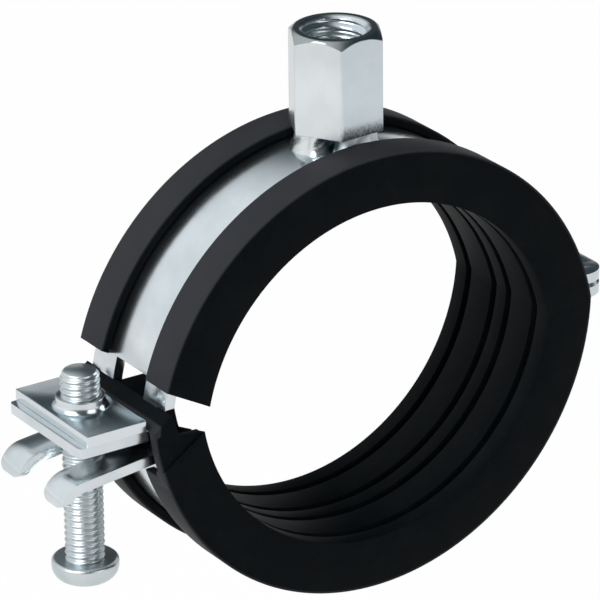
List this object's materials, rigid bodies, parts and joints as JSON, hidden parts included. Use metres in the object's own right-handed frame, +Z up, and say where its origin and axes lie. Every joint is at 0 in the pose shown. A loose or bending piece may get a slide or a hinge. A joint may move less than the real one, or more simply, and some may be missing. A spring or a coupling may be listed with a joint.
{
  "type": "rubber lined pipe clamp",
  "caption": "Hinged two-part steel pipe clamp with a ribbed rubber liner, a hexagon connection nut on top and a quick-closing screw with a nut plate.",
  "frame": {"origin": "on the axis of the upper half ring, midway along it, where the axis of a pipe seated in it lies", "axes": "+Z up along the connection nut's axis, +Y along the pipe, +X towards the hinge"},
  "size_m": [0.0974, 0.024, 0.0852],
  "materials": {
    "zinc_strap": "bright zinc plate with a faint blue cast",
    "zinc_nut": "satin zinc plate",
    "zinc_screw": "bright zinc plate",
    "rubber": "matt black moulded rubber"
  },
  "bodies": {
    "upper_half": {"upper_strap": "zinc_strap", "connection_nut": "zinc_nut", "rubber_liner": "rubber"},
    "lower_half": {"lower_strap": "zinc_strap"},
    "nut_plate": {"nut_plate": "zinc_strap"},
    "locking_screw": {"locking_screw": "zinc_screw"}
  },
  "joints": [
    {"name": "lower_half_hinge", "type": "hinge", "parent": "upper_half", "child": "lower_half", "pos_m": [0.0404, 0, 0.00735], "axis": [0, -1, 0], "range_deg": [-2, 6], "deforming": ["rubber_liner"]},
    {"name": "nut_plate_tilt", "type": "hinge", "parent": "upper_half", "child": "nut_plate", "pos_m": [-0.0396, 0, 0.0047], "axis": [0, 1, 0], "range_deg": [0, 15]},
    {"name": "screw_turn", "type": "hinge", "parent": "nut_plate", "child": "locking_screw", "pos_m": [-0.0446, 0, 0], "axis": [0, 0, 1], "continuous": true}
  ]
}
